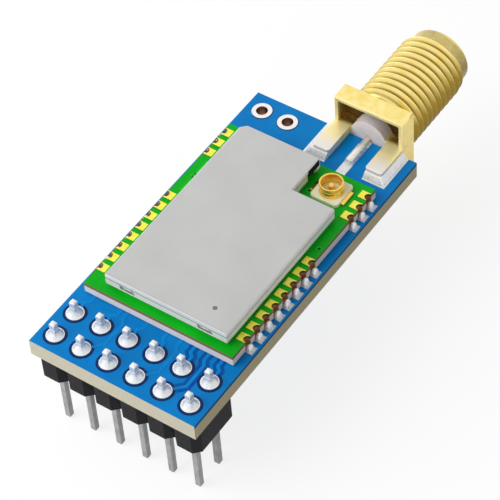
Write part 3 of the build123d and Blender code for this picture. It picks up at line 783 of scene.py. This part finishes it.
# The thread is a helix: each column of points round the barrel follows the same form, as shares of
# the pitch and of the height, and is moved along by its own share. It fades out at both ends.
thread_form = (
    (0.0, 0.0), (0.1, 0.0), (0.15, 0.07), (0.44, 0.93), (0.5, 1.0), (0.6, 1.0), (0.66, 0.93), (0.95, 0.07),
)
turns = math.ceil(thread_length / thread_pitch) + 2
points_round = []
for k in range(around):
    column = []
    for turn in range(-1, turns):
        for along, rise in thread_form:
            y = thread_start + (turn + along + k / around) * thread_pitch
            fade = max(0.0, min(1.0, (y - thread_start) / run_out, (thread_end - y) / run_out))
            y = max(thread_start, min(thread_end, y))
            radius = root_radius + (crest_radius - root_radius) * rise * fade
            column.append(body.verts.new(on_barrel(radius, y, 2 * math.pi * k / around)))
    points_round.append(column)
last = len(points_round[0]) - 1
new_vertices = [vertex for column in points_round for vertex in column]
for k in range(around):
    column = points_round[k]
    ahead = points_round[(k + 1) % around]
    skip = len(thread_form) if k == around - 1 else 0
    for row in range(last):
        far = min(row + 1 + skip, last)
        near = min(row + skip, last)
        corners = (column[row], column[row + 1], ahead[far], ahead[near])
        if len(set(corners)) == 4:
            body.faces.new(corners)

# Nose, mouth and bore are turned, and close the barrel's end and inside.
barrel_profile = (
    (root_radius, thread_end), (nose_radius, thread_end + 0.01 * mm),
    (nose_radius, nose_end - nose_chamfer), (nose_radius - 0.17 * mm, nose_end - 0.02 * mm),
    (nose_radius - nose_chamfer, nose_end), (mouth_radius + mouth_chamfer, nose_end),
    (mouth_radius, nose_end - mouth_chamfer), (mouth_radius, nose_end - mouth_depth),
    (bore_radius, nose_end - mouth_depth), (bore_radius, bore_start),
    (root_radius, bore_start), (root_radius, thread_start),
)
rings = []
for radius, y in barrel_profile:
    ring = [body.verts.new(on_barrel(radius, y, 2 * math.pi * k / around)) for k in range(around)]
    rings.append(ring)
    new_vertices += ring
join_rings(body, rings)
bmesh.ops.remove_doubles(body, verts=new_vertices, dist=1e-8)
bmesh.ops.dissolve_degenerate(body, edges=body.edges, dist=1e-8)

# The plating is pale gold. The thread's roots and the barrel's underside are painted darker brown
# as shade, and the plating is whiter on the legs, where solder has wicked up.
body_gold, tree, shader = new_finish("body_gold", (0.95, 0.75, 0.30), roughness=0.26, metallic=1.0)
place = place_on(tree)
along = axis_of(tree, place, "Y")
drift = mottle(tree, place, 0.6 * mm, 4.0)
gold = blended(tree, spread(tree, drift, 0.3, 0.7), (0.93, 0.71, 0.20), (0.97, 0.82, 0.34))
beside_axis = worked_out(tree, "SUBTRACT", axis_of(tree, place, "X"), axis_x)
above_axis = worked_out(tree, "SUBTRACT", axis_of(tree, place, "Z"), axis_z)
beside_squared = worked_out(tree, "POWER", beside_axis, 2.0)
above_squared = worked_out(tree, "POWER", above_axis, 2.0)
off_axis = worked_out(tree, "SQRT", worked_out(tree, "ADD", beside_squared, above_squared))
along_barrel = spread(tree, along, thread_start, thread_start + 0.2 * mm)
before_nose = spread(tree, along, thread_end, thread_end - 0.1 * mm)
on_thread = worked_out(tree, "MULTIPLY", along_barrel, before_nose)
# Painted shade in the thread's roots.
roots_painted_shade = spread(tree, off_axis, crest_radius - 0.15 * mm, root_radius)
gold = blended(tree, worked_out(tree, "MULTIPLY", roots_painted_shade, on_thread), gold, (0.24, 0.14, 0.02))
facing_up = axis_of(tree, tree.nodes.new("ShaderNodeNewGeometry").outputs["Normal"], "Z")
# Painted shade on the barrel's underside.
underside_painted_shade = worked_out(tree, "MULTIPLY", spread(tree, facing_up, 0.62, 0.15), along_barrel)
gold = blended(tree, underside_painted_shade, gold, (0.36, 0.24, 0.035))
legs_start = thread_start - 1.9 * mm
legs_tip = body_low.y
legs_share = spread(tree, along, legs_start, legs_start - 0.7 * mm, 0.0, 0.75)
gold = blended(tree, legs_share, gold, (0.98, 0.86, 0.48))
wicked = worked_out(tree, "ADD", along, worked_out(tree, "MULTIPLY", drift, 1.2 * mm))
whitened = spread(tree, wicked, legs_tip + 1.2 * mm, legs_tip + 2.6 * mm, 1.0, 0.0)
gold = blended(tree, whitened, gold, (0.86, 0.82, 0.76))
tree.links.new(gold, shader.inputs["Base Color"])
tree.links.new(spread(tree, along, legs_start, legs_start - 0.4 * mm, 1.0, 0.45), shader.inputs["Metallic"])
rougher = spread(tree, along, legs_start, legs_start - 0.4 * mm, 0.0, 0.16)
rough_gold = worked_out(tree, "ADD", spread(tree, drift, 0.3, 0.7, 0.22, 0.36), rougher)
tree.links.new(rough_gold, shader.inputs["Roughness"])
relief(tree, shader, mottle(tree, place_on(tree, (1.0, 0.2, 1.0)), 0.1 * mm), 0.002 * mm)
body_mesh = mesh_of(body, "connector_body")
body_piece = new_piece("connector_body", body_mesh, body_gold, "gold_plate", "coax_body")
even_shading(body_piece)

# The milled pocket's faces that look forward or down are painted dark brown as shade.
pocket_painted_shade, tree, shader = new_finish("pocket_painted_shade", (0.16, 0.10, 0.03), roughness=0.6, metallic=1.0)
pocket_shade_mottle = mottle(tree, place_on(tree), 0.3 * mm)
tree.links.new(blended(tree, pocket_shade_mottle, (0.10, 0.06, 0.02), (0.22, 0.14, 0.05)), shader.inputs["Base Color"])
relief(tree, shader, pocket_shade_mottle, 0.004 * mm)
body_piece.data.materials.append(pocket_painted_shade)
flange_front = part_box("coax_insulator")[0].y
pocket_front = flange_front + 0.03 * mm
pocket_back = flange_front + 1.2 * mm
pocket_half_width = 2.95 * mm
pocket_top = body_high.z - 0.3 * mm
for polygon in body_piece.data.polygons:
    centre = polygon.center
    inside = abs(centre.x - axis_x) < pocket_half_width and axis_z < centre.z < pocket_top
    shaded = polygon.normal.y < -0.5 or polygon.normal.z < -0.5
    if inside and shaded and pocket_front < centre.y < pocket_back:
        polygon.material_index = 1


# The insulator is a waxy white fluoroplastic plug, pressed into the body. It holds the contact, a
# slotted gold-plated socket in front and a solid wire behind, whose end is tinned.
waxy, tree, shader = new_finish("waxy_fluoroplastic", (0.62, 0.60, 0.58), roughness=0.45)
cloud = mottle(tree, place_on(tree), 0.8 * mm)
tree.links.new(blended(tree, cloud, (0.62, 0.56, 0.55), (0.76, 0.70, 0.69)), shader.inputs["Base Color"])
shader.inputs["Subsurface Weight"].default_value = 0.2
shader.inputs["Subsurface Scale"].default_value = 0.3 * mm
relief(tree, shader, mottle(tree, place_on(tree), 0.12 * mm), 0.006 * mm)
contact_gold, tree, shader = new_finish("contact_gold", (0.88, 0.56, 0.13), roughness=0.3, metallic=1.0)
drift = mottle(tree, place_on(tree), 0.5 * mm)
drifted = worked_out(tree, "MULTIPLY", drift, 0.6 * mm)
wicked = worked_out(tree, "ADD", axis_of(tree, place_on(tree), "Y"), drifted)
tinned = spread(tree, wicked, flange_front - 0.1 * mm, flange_front + 0.7 * mm, 1.0, 0.0)
tree.links.new(blended(tree, tinned, (0.86, 0.55, 0.13), (0.84, 0.82, 0.76)), shader.inputs["Base Color"])
tree.links.new(spread(tree, drift, 0.3, 0.7, 0.24, 0.42), shader.inputs["Roughness"])
for node, name, radius, finish, slot in (
    ("coax_insulator", "connector_insulator", 0.04, waxy, "white_fluoroplastic"),
    ("coax_contact", "connector_contact", 0.02, contact_gold, "gold_plate"),
):
    even_shading(new_piece(name, mesh_of(rounded(node, radius * mm), name), finish, slot, node))


# Solder banks hold the four legs and the contact's tail. They are run in with an iron, and surface
# tension draws them round.
def melted(node, grain_size, rounds):
    """Copy of a solid of the frame, drawn round as liquid metal is."""
    copy = bpy.data.objects.new(node + "_melt", nodes[node].data.copy())
    bpy.context.scene.collection.objects.link(copy)
    even = copy.modifiers.new("even_grain", "REMESH")
    even.mode = "VOXEL"
    even.voxel_size = grain_size
    tension = copy.modifiers.new("surface_tension", "SMOOTH")
    tension.iterations = rounds
    mesh = bpy.data.meshes.new_from_object(copy.evaluated_get(bpy.context.evaluated_depsgraph_get()))
    bpy.data.objects.remove(copy)
    mesh.polygons.foreach_set("use_smooth", [True] * len(mesh.polygons))
    return mesh


for node, name, grain_size, rounds in (
    ("coax_leg_solder", "leg_joints", 0.05, 6),
    ("coax_tail_solder", "tail_joint", 0.04, 5),
):
    new_piece(name, melted(node, grain_size * mm, rounds), frozen_solder, "solder", node)


# The table is a wide sheet of pale card just under the pins. The camera sees mostly plain white,
# with the object's soft shadow, and the card sends less light up at the object than it shows.
def seen_directly(tree, ray):
    """Whether the camera, gloss or glass looks at a surface, and not light that passes on."""
    seen = worked_out(tree, "MAXIMUM", ray.outputs["Is Camera Ray"], ray.outputs["Is Glossy Ray"])
    return worked_out(tree, "MAXIMUM", seen, ray.outputs["Is Transmission Ray"])


table_level = cad_low.z - 0.05 * mm
table_reach = 600.0 * mm
table_corners = [(-1, -1), (1, -1), (1, 1), (-1, 1)]
table_points = [(x * table_reach, y * table_reach, table_level) for x, y in table_corners]
table_mesh = bpy.data.meshes.new("table_card")
table_mesh.from_pydata(table_points, [], [(0, 1, 2, 3)])
table = bpy.data.objects.new("table_card", table_mesh)
bpy.context.scene.collection.objects.link(table)
card, tree, shader = new_finish("pale_card", (0.95, 0.95, 0.95), roughness=0.9, specular=0.1)
table_mesh.materials.append(card)
white_to_camera = 0.8
white_to_gloss = 0.3
ray = tree.nodes.new("ShaderNodeLightPath")
card_colour = blended(tree, seen_directly(tree, ray), (0.45, 0.45, 0.45), (1.0, 1.0, 1.0))
tree.links.new(card_colour, shader.inputs["Base Color"])
camera_share = worked_out(tree, "MULTIPLY", ray.outputs["Is Camera Ray"], white_to_camera)
glossy_share = worked_out(tree, "MULTIPLY", ray.outputs["Is Glossy Ray"], white_to_gloss)
lit_or_white = tree.nodes.new("ShaderNodeMixShader")
tree.links.new(worked_out(tree, "MAXIMUM", camera_share, glossy_share), lit_or_white.inputs["Fac"])
tree.links.new(shader.outputs["BSDF"], lit_or_white.inputs[1])
tree.links.new(tree.nodes.new("ShaderNodeEmission").outputs["Emission"], lit_or_white.inputs[2])
tree.links.new(lit_or_white.outputs["Shader"], tree.nodes["Material Output"].inputs["Surface"])


# The room round the table is an even pale light, as in a tent of white cloth. The camera, gloss and
# glass see it as plain white.
world = bpy.data.worlds.new("studio")
bpy.context.scene.world = world
world.use_nodes = True
tree = world.node_tree
room_light = tree.nodes["Background"]
room_light.inputs["Color"].default_value = (1.0, 1.0, 1.0, 1.0)
room_light.inputs["Strength"].default_value = 0.45
white = tree.nodes.new("ShaderNodeBackground")
white.inputs["Color"].default_value = (1.0, 1.0, 1.0, 1.0)
white.inputs["Strength"].default_value = 1.0
light_or_white = tree.nodes.new("ShaderNodeMixShader")
ray = tree.nodes.new("ShaderNodeLightPath")
tree.links.new(seen_directly(tree, ray), light_or_white.inputs["Fac"])
tree.links.new(room_light.outputs["Background"], light_or_white.inputs[1])
tree.links.new(white.outputs["Background"], light_or_white.inputs[2])
tree.links.new(light_or_white.outputs["Shader"], tree.nodes["World Output"].inputs["Surface"])


# Three soft boxes light the object: a large one from the front left that gives the shadows, a weak
# one from the right, and one low behind on the left that alone shows in the gold and the solder.
def soft_box(name, place, size, power, glints=True):
    """Square lamp that faces the middle of the object, and may be left out of its reflections."""
    lamp = bpy.data.lights.new(name, "AREA")
    lamp.size = size * mm
    lamp.energy = power
    holder = bpy.data.objects.new(name, lamp)
    holder.location = Vector(place) * mm
    holder.visible_camera = False
    holder.visible_glossy = glints
    holder.rotation_mode = "QUATERNION"
    holder.rotation_quaternion = ((cad_low + cad_high) / 2 - holder.location).to_track_quat("-Z", "Y")
    bpy.context.scene.collection.objects.link(holder)


soft_box("front_left_box", (-120.0, -120.0, 160.0), 240.0, 0.60, glints=False)
soft_box("right_box", (150.0, 120.0, 85.0), 60.0, 0.012, glints=False)
soft_box("left_back_box", (-184.0, 133.0, 70.0), 150.0, 0.07)


# The camera looks down on the header's right corner with a long lens, rolled a little. Its place and
# directions were fitted to the boards' corners, the holes and the contacts.
camera_place = Vector((75.097, -80.883, 141.104)) * mm
camera_right = Vector((0.82466732, 0.56300809, -0.05427435))
camera_down = Vector((0.39551588, -0.64259393, -0.65623184))
camera_ahead = Vector((-0.4043402, 0.51970659, -0.75260485))
focal_pixels = 2317.8185
frame_pixels = 500.0
camera = bpy.data.cameras.new("camera")
camera.sensor_width = 36.0
camera.lens = camera.sensor_width * focal_pixels / frame_pixels
camera.clip_start = 0.01
camera.clip_end = 5.0
camera_holder = bpy.data.objects.new("camera", camera)
camera_holder.location = camera_place
camera_holder.rotation_mode = "QUATERNION"
camera_axes = Matrix((camera_right, -camera_down, -camera_ahead)).transposed()
camera_holder.rotation_quaternion = camera_axes.to_quaternion()
bpy.context.scene.collection.objects.link(camera_holder)
bpy.context.scene.camera = camera_holder
bpy.context.scene.view_settings.view_transform = "Standard"
